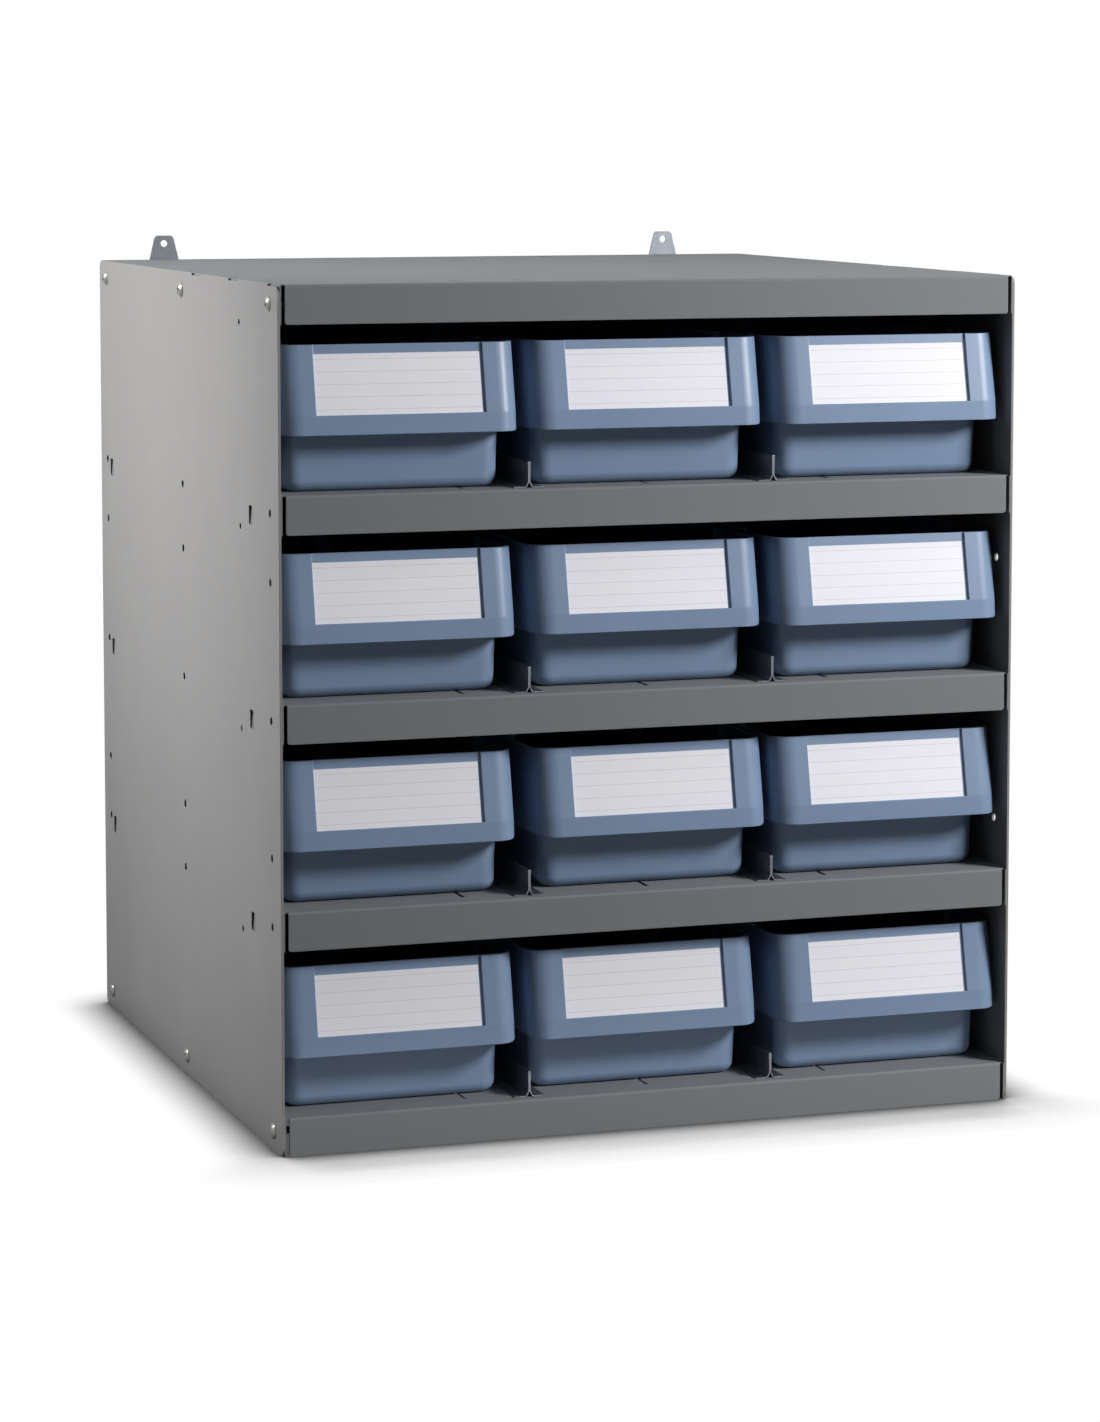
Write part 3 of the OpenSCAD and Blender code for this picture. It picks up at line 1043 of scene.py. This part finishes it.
class BinSet:
    """The twelve bins and their cards, each at its own place in the frame."""

    def __init__(self, dresser: Dresser) -> None:
        """Keeps the dresser and takes the bins' outer sizes from the frame.

        Args:
            dresser: What makes the pieces.
        """
        low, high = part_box("bin_top_left")
        size = (high - low) / MM
        self.dresser = dresser
        self.pattern = Bin(length=size.y, width=size.x, height=size.z)

    def build(self) -> None:
        """Makes every bin and card."""
        shell, card = self.pattern.shell(), self.pattern.card()
        for row in Row:
            for column in Column:
                label = f"{row.value}_{column.value}"
                low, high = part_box(f"bin_{label}")
                place = Matrix.Translation(((low.x + high.x) / 2, low.y, low.z))
                made = self.dresser.piece(f"moulded_bin_{label}", shell, place, Slot.BIN_PLASTIC,
                                          f"{label}_bin", [f"bin_{label}"])
                self.dresser.ease(made, self.pattern.edge_bevel, self.pattern.edge_steps)
                self.dresser.piece(f"ruled_card_{label}", card, place, Slot.CARD,
                                   f"{label}_bin", [f"label_card_{label}"])
        shell.free()
        card.free()


# Dividers ------------------------------------------------------------------------------------


@dataclass
class DividerStrip:
    """Inverted T folded from one sheet: two feet, a flared fold and a beaded top."""

    sheet_t: float = 0.9
    foot: float = 25.4
    height: float = 20.0
    bead_r: float = 1.08
    fold_w: float = 5.2
    fold_h: float = 4.5
    tab_len: float = 24.0
    tab_drop: float = 5.0
    tab_inset: float = 12.5
    tab_bevel: float = 0.2
    edge_bevel: float = 0.12
    edge_angle: float = 50.0
    fold_r: float = 1.6
    fold_lead: float = 0.8
    leaf_gap: float = 0.02
    neck: float = 2.376
    bead_inset: float = 0.3

    def profile(self) -> list[Point]:
        """Middle line of the folded sheet, from one foot over the bead to the other.

        Returns:
            The points, across and up.
        """
        half = self.sheet_t / 2
        fold_x, leaf_x = self.fold_w / 2 + self.fold_lead, half + self.leaf_gap
        right = [(self.foot / 2 - half, half), (fold_x, half)]
        right += arc((fold_x, half + self.fold_r), self.fold_r, 270, 215, 4)
        right += [(leaf_x, self.fold_h), (leaf_x, self.height - self.neck)]
        bead_r = self.bead_r - self.bead_inset
        bead = arc((0.0, self.height - self.bead_r), bead_r, -40, 220, 10)
        left = [(-x, z) for x, z in reversed(right)]
        return right + bead + left

    def build(self, length: float) -> BMesh:
        """Makes the strip from its profile.

        Args:
            length: Length of the strip.

        Returns:
            The open sheet, to be thickened, in its own place.
        """
        bm = bmesh.new()
        verts = [bm.verts.new((x, 0.0, z)) for x, z in self.profile()]
        edges = [bm.edges.new(pair) for pair in zip(verts, verts[1:])]
        made = bmesh.ops.extrude_edge_only(bm, edges=edges)["geom"]
        moved = [v for v in made if isinstance(v, BMVert)]
        bmesh.ops.translate(bm, vec=(0.0, length, 0.0), verts=moved)
        bmesh.ops.recalc_face_normals(bm, faces=bm.faces)
        return bm

    def tabs(self, length: float) -> BMesh:
        """Makes the two tabs that go down through the shelf's slots.

        Args:
            length: Length of the strip.

        Returns:
            The mesh.
        """
        bm = bmesh.new()
        for start in (self.tab_inset, length - self.tab_inset - self.tab_len):
            block(bm, Vector((-self.sheet_t, start, -self.tab_drop)),
                  Vector((self.sheet_t, start + self.tab_len, self.sheet_t / 2)), self.tab_bevel)
        return bm


# Fasteners -----------------------------------------------------------------------------------


@dataclass
class Fastener:
    """Screws and rivets turned from a profile, standing on z = 0 with their heads up.

    The sizes of the cross are shares of the head's radius and height.
    """

    segments: int = 40
    crown_steps: int = 9
    screw_lip: float = 0.5
    rib_depth: float = 0.45
    rib_foot: float = 0.35
    rib_crest: float = 0.85
    tip_taper: float = 0.8
    cross_reach: float = 0.5
    cross_arm: float = 0.13
    cross_depth: float = 0.45
    cross_zone: float = 0.5
    rivet_segments: int = 24
    rivet_lip: float = 0.25
    rivet_shank_r: float = 2.0
    pin_r: float = 1.0
    pin_foot_r: float = 1.1
    pin_rise: float = 0.15
    pin_sink: float = 0.12
    pin_well_r: float = 1.2
    bulb_taper: float = 0.2
    bulb_side: float = 1.1
    bulb_end_r: float = 1.6
    bulb_len: float = 1.5

    def dome(self, radius: float, height: float, lip: float) -> list[Point]:
        """Profile of a domed head.

        Args:
            radius: Radius of the head.
            height: Its height at the crown.
            lip: Height of its upright rim.

        Returns:
            The points, from the crown to the rim.
        """
        ball = (radius ** 2 + (height - lip) ** 2) / (2 * (height - lip))
        reach = math.degrees(math.asin(radius / ball))
        crown = arc((0.0, height - ball), ball, 90, 90 - reach, self.crown_steps)
        return [(max(x, 0.0), z) for x, z in crown]

    def screw(self, radius: float, height: float, shank_r: float, shank_len: float) -> BMesh:
        """Makes a domed screw with a cross recess and a ribbed thread.

        Args:
            radius: Radius of the head.
            height: Height of the head.
            shank_r: Radius of the thread's crests.
            shank_len: Length below the head.

        Returns:
            The mesh.
        """
        profile = self.dome(radius, height, self.screw_lip) + [(radius, 0.0), (shank_r, 0.0)]
        for i in range(int(shank_len)):
            profile += [(shank_r - self.rib_depth, -i - self.rib_foot),
                        (shank_r, -i - self.rib_crest)]
        profile += [(shank_r - self.tip_taper, -shank_len), (0.0, -shank_len)]
        bm = lathe(profile, self.segments)
        self._press_cross(bm, radius, height)
        return bm

    def _press_cross(self, bm: BMesh, radius: float, height: float) -> None:
        """Presses a cross-shaped recess into the crown.

        Args:
            bm: The screw's mesh.
            radius: Radius of the head.
            height: Height of the head.
        """
        for vert in bm.verts:
            x, y, z = vert.co
            near, far = sorted((abs(x), abs(y)))
            in_arm = near < radius * self.cross_arm and far < radius * self.cross_reach
            if z > height * self.cross_zone and in_arm:
                vert.co.z -= height * self.cross_depth

    def rivet(self, radius: float, height: float, bulb_r: float, grip: float) -> BMesh:
        """Makes a domed rivet with its mandrel end and the bulb behind the sheet.

        Args:
            radius: Radius of the head.
            height: Height of the head.
            bulb_r: Radius of the bulb.
            grip: Thickness that the rivet holds together.

        Returns:
            The mesh.
        """
        crown = self.dome(radius, height, self.rivet_lip)
        profile = [(0.0, height + self.pin_rise), (self.pin_r, height + self.pin_rise),
                   (self.pin_foot_r, height - self.pin_sink)]
        profile += [p for p in crown if p[0] > self.pin_well_r]
        profile += [(radius, 0.0), (self.rivet_shank_r, 0.0), (self.rivet_shank_r, -grip),
                    (bulb_r, -grip), (bulb_r - self.bulb_taper, -grip - self.bulb_side),
                    (self.bulb_end_r, -grip - self.bulb_len), (0.0, -grip - self.bulb_len)]
        return lathe(profile, self.rivet_segments)


@dataclass
class Carcass:
    """The folded sheets, the dividers, the hanging plates and everything that fastens them."""

    dresser: Dresser
    head_r: float = 6.0
    head_h: float = 3.3
    shank_r: float = 3.0
    shank_len: float = 12.0
    hole_inset: float = 25.0
    hole_drop: float = 15.0
    rivet_r: float = 4.0
    rivet_h: float = 1.2
    rivet_bulb_r: float = 3.0
    rivet_drop: float = 15.0
    rivet_grip: float = 2.0
    screw_turns: tuple[float, float] = (37.0, 71.0)

    def build(self) -> None:
        """Dresses the sheets and makes the dividers and the fasteners."""
        for side in Side:
            self.dresser.dress(f"side_panel_{side.value}", Slot.SIDE_PAINT)
            self.dresser.dress(f"wall_bracket_{side.value}", Slot.ZINC_SHEET)
            self.dresser.dress(f"side_nuts_{side.value}", Slot.BRIGHT_ZINC)
        for node in ("top_tray", "shelf_upper", "shelf_middle", "shelf_lower", "bottom_tray",
                     "back_panel"):
            self.dresser.dress(node, Slot.TRAY_PAINT)
        self.dresser.dress("bracket_nuts", Slot.BRIGHT_ZINC)
        self._dividers()
        self._side_screws()
        self._bracket_screws()
        self._rivets()

    def _dividers(self) -> None:
        """Makes the folded divider strips."""
        strip = DividerStrip()
        for row in Row:
            for side in Side:
                node = f"divider_{row.value}_{side.value}"
                low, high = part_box(node)
                length = (high.y - low.y) / MM
                shelf = low.z + strip.tab_drop * MM
                place = Matrix.Translation(((low.x + high.x) / 2, low.y, shelf))
                sheet = strip.build(length)
                made = self.dresser.piece(f"divider_strip_{row.value}_{side.value}", sheet, place,
                                          Slot.ZINC_SHEET, "root", [node])
                solid = made.modifiers.new("sheet", "SOLIDIFY")
                solid.thickness = strip.sheet_t * MM
                solid.offset = 0.0
                self.dresser.ease(made, strip.edge_bevel, angle=strip.edge_angle)
                tabs = strip.tabs(length)
                self.dresser.piece(f"divider_tabs_{row.value}_{side.value}", tabs, place,
                                   Slot.ZINC_SHEET, "root", [node])
                sheet.free()
                tabs.free()

    def _screw(self) -> BMesh:
        """Makes one of the domed screws."""
        return Fastener().screw(self.head_r, self.head_h, self.shank_r, self.shank_len)

    def _side_screws(self) -> None:
        """Makes the six domed screws on each side."""
        screw = self._screw()
        low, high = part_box("side_panel_left")
        inset, drop = self.hole_inset * MM, self.hole_drop * MM
        depths = (low.y + inset, (low.y + high.y) / 2, high.y - inset)
        for side in Side:
            panel_low, panel_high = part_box(f"side_panel_{side.value}")
            x = (panel_low if side is Side.LEFT else panel_high).x
            group = bmesh.new()
            for i, y in enumerate(depths):
                for j, z in enumerate((low.z + drop, high.z - drop)):
                    angle = self.screw_turns[0] * i + self.screw_turns[1] * j
                    turn = Matrix.Rotation(math.radians(angle), 4, "Z")
                    out = Matrix.Rotation(math.radians(90 * side.sign), 4, "Y")
                    join(group, screw, Matrix.Translation(Vector((x, y, z)) / MM) @ out @ turn)
            self.dresser.piece(f"domed_screws_{side.value}", group, Matrix(), Slot.BRIGHT_ZINC,
                               "root", [f"side_screws_{side.value}"])
            group.free()
        screw.free()

    def _bracket_screws(self) -> None:
        """Makes the screws that clamp the hanging plates."""
        screw = self._screw()
        group = bmesh.new()
        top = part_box("side_panel_left")[1].z
        for side in Side:
            low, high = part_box(f"wall_bracket_{side.value}")
            place = Vector(((low.x + high.x) / 2, high.y, top - self.hole_drop * MM)) / MM
            join(group, screw, Matrix.Translation(place) @ TO_THE_BACK)
        self.dresser.piece("bracket_screw_pair", group, Matrix(), Slot.BRIGHT_ZINC, "root",
                           ["bracket_screws"])
        group.free()
        screw.free()

    def _rivets(self) -> None:
        """Makes the rivets that hold the back panel, three to a tray."""
        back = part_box("back_panel")[1].y
        bay = (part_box("side_panel_right")[1].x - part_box("side_panel_left")[0].x) / len(Column)
        rivet = Fastener().rivet(self.rivet_r, self.rivet_h, self.rivet_bulb_r, self.rivet_grip)
        group = bmesh.new()
        for tray in ("bottom_tray", "shelf_lower", "shelf_middle", "shelf_upper", "top_tray"):
            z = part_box(tray)[1].z - self.rivet_drop * MM
            for x in (-bay, 0.0, bay):
                place = Matrix.Translation(Vector((x, back, z)) / MM)
                join(group, rivet, place @ TO_THE_BACK)
        self.dresser.piece("back_rivet_set", group, Matrix(), Slot.BRIGHT_ZINC, "root",
                           ["back_rivets"])
        group.free()
        rivet.free()


# Studio --------------------------------------------------------------------------------------


@dataclass
class Lamp:
    """A soft rectangular lamp."""

    name: str
    place: Place
    aim: Place
    size: tuple[float, float]
    power: float
    spread: float = 180.0

    def build(self) -> None:
        """Adds the lamp to the scene."""
        data = bpy.data.lights.new(self.name, "AREA")
        data.shape = "RECTANGLE"
        data.size, data.size_y = self.size
        data.energy = self.power
        data.spread = math.radians(self.spread)
        lamp = bpy.data.objects.new(self.name, data)
        lamp.location = self.place
        lamp.rotation_euler = (Vector(self.aim) - Vector(self.place)).to_track_quat(
            "-Z", "Y").to_euler()
        bpy.context.scene.collection.objects.link(lamp)


@dataclass
class Studio:
    """White floor and surround, soft lamps and the camera."""

    focal_px: float = 4178.9
    yaw: float = 18.719
    pitch: float = -5.473
    eye: Place = (-1.1036, -3.3019, 0.7773)
    rise: float = -0.13
    sensor: float = 36.0
    floor_half: float = 30.0
    surround: float = 0.02
    # Reach, strength and darkest value of the painted floor shadow, which reaches further in
    # front than at the sides
    side_reach: float = 0.05
    front_reach: float = 0.1
    front_y: float = -0.3
    front_power: float = 2.3
    darkest: float = 0.09
    bounce: Colour = (0.14, 0.14, 0.14)
    front_lead: float = 0.06
    front_tail: float = 0.02
    least_open: float = 0.5
    fade_from: float = 0.75
    fade_to: float = 1.6
    corner_samples: int = 16

    def build(self) -> None:
        """Builds the floor, the surround, the lamps and the camera."""
        scene = bpy.context.scene
        scene.view_settings.view_transform = "Standard"
        self._camera(scene)
        self._world(scene)
        self._floor()
        for lamp in self.lamps():
            lamp.build()

    def lamps(self) -> list[Lamp]:
        """Lists the lamps.

        Returns:
            The lamps, with their places and aims in metres.
        """
        return [
            Lamp("left_panel", (-2.1, 0.8, 1.5), (-0.3, 0.06, 0.60), (0.6, 0.6), 4.0,
                 spread=36.0),
            Lamp("overhead", (0.55, 0.45, 2.6), (0.0, 0.1, 0.6), (1.4, 1.3), 4.8),
            Lamp("bend_strip", (0.4, -1.2, 2.6), (0.0, -0.3, 0.4), (1.2, 0.25), 3.4),
            Lamp("key_right", (1.3, -1.4, 1.22), (0.0, -0.3, 0.35), (0.5, 0.45), 39.0),
            Lamp("floor_light", (0.1, -1.3, 0.02), (0.05, -0.3, 0.02), (1.0, 0.05), 0.05,
                 spread=10.0),
        ]

    def _camera(self, scene: bpy.types.Scene) -> None:
        """Places the camera where the cabinet was seen from.

        Args:
            scene: The scene that looks through it.
        """
        data = bpy.data.cameras.new("camera")
        data.sensor_width = self.sensor
        data.lens = self.focal_px / PHOTO_LONG_SIDE * self.sensor
        data.shift_y = self.rise
        camera = bpy.data.objects.new("camera", data)
        camera.location = self.eye
        camera.rotation_euler = (math.radians(90 + self.pitch), 0.0, math.radians(-self.yaw))
        scene.collection.objects.link(camera)
        scene.camera = camera

    @staticmethod
    def _seen(tree: NodeTree) -> NodeSocket:
        """Makes a mask for rays that see the surround itself.

        Args:
            tree: The tree that the nodes go in.

        Returns:
            The socket with the mask.
        """
        path = add_node(tree, "ShaderNodeLightPath").outputs
        glossy = maths(tree, "MAXIMUM", path["Is Camera Ray"], path["Is Glossy Ray"])
        return maths(tree, "MAXIMUM", glossy, path["Is Transmission Ray"])

    def _world(self, scene: bpy.types.Scene) -> None:
        """Makes a dim surround that looks white itself.

        Args:
            scene: The scene that it surrounds.
        """
        world = bpy.data.worlds.new("surround")
        tree = empty_tree(world)
        dim = add_node(tree, "ShaderNodeBackground", {"Color": WHITE, "Strength": self.surround})
        white = add_node(tree, "ShaderNodeBackground", {"Color": WHITE, "Strength": 1.0})
        mixed = add_node(tree, "ShaderNodeMixShader", {0: self._seen(tree), 1: dim.outputs[0],
                                                       2: white.outputs[0]})
        add_node(tree, "ShaderNodeOutputWorld", {"Surface": mixed.outputs[0]})
        scene.world = world

    def _floor(self) -> None:
        """Makes a white floor with a painted shadow round the cabinet's foot, fading to plain
        white.
        """
        bm = bmesh.new()
        bmesh.ops.create_grid(bm, x_segments=1, y_segments=1, size=self.floor_half)
        mesh = bpy.data.meshes.new("floor")
        bm.to_mesh(mesh)
        bm.free()
        mesh.materials.append(self._floor_material())
        floor = bpy.data.objects.new("floor", mesh)
        bpy.context.scene.collection.objects.link(floor)

    def _floor_material(self) -> Material:
        """Makes the floor's material: a plain white glow, darkened by a painted shadow where it
        meets the cabinet.

        Returns:
            The material.
        """
        material = bpy.data.materials.new("floor_white")
        tree = empty_tree(material)
        place = add_node(tree, "ShaderNodeTexCoord").outputs["Object"]
        axes = add_node(tree, "ShaderNodeSeparateXYZ", {0: place})
        reach, power = [add_node(tree, "ShaderNodeMapRange", {
            "Value": axes.outputs["Y"], "From Min": self.front_y - self.front_lead,
            "From Max": self.front_y + self.front_tail, "To Min": front, "To Max": beside},
            interpolation_type="SMOOTHSTEP").outputs["Result"]
            for front, beside in ((self.front_reach, self.side_reach), (self.front_power, 1.0))]
        # Painted shadow: an occlusion node darkens the floor's glow near the cabinet; the lamps
        # cast no shadow on what the camera sees
        corner = add_node(tree, "ShaderNodeAmbientOcclusion", {"Distance": reach},
                          samples=self.corner_samples)
        open_sky = add_node(tree, "ShaderNodeMapRange", {"Value": corner.outputs["AO"],
                                                         "From Min": self.least_open})
        shade = maths(tree, "POWER", open_sky.outputs["Result"], power)
        lifted = add_node(tree, "ShaderNodeMapRange", {"Value": shade, "To Min": self.darkest})
        near = add_node(tree, "ShaderNodeEmission", {"Strength": lifted.outputs["Result"]})
        white = add_node(tree, "ShaderNodeEmission", {"Color": WHITE, "Strength": 1.0})
        far = add_node(tree, "ShaderNodeVectorMath", {0: place}, operation="LENGTH")
        fade = add_node(tree, "ShaderNodeMapRange", {"Value": far.outputs["Value"],
                                                     "From Min": self.fade_from,
                                                     "From Max": self.fade_to},
                        interpolation_type="SMOOTHSTEP")
        shown = add_node(tree, "ShaderNodeMixShader", {0: fade.outputs[0], 1: near.outputs[0],
                                                       2: white.outputs[0]})
        plain = add_node(tree, "ShaderNodeBsdfDiffuse", {"Color": (*self.bounce, 1)})
        final = add_node(tree, "ShaderNodeMixShader", {0: self._seen(tree), 1: plain.outputs[0],
                                                       2: shown.outputs[0]})
        add_node(tree, "ShaderNodeOutputMaterial", {"Surface": final.outputs[0]})
        return material


def main() -> None:
    """Builds the whole scene in order."""
    logging.basicConfig(level=logging.INFO, format="%(name)s: %(message)s")
    effects = Effects()
    dresser = Dresser({finish.slot: finish.build(effects) for finish in finishes()})
    Carcass(dresser).build()
    BinSet(dresser).build()
    Studio().build()


if __name__ == "__main__":
    main()
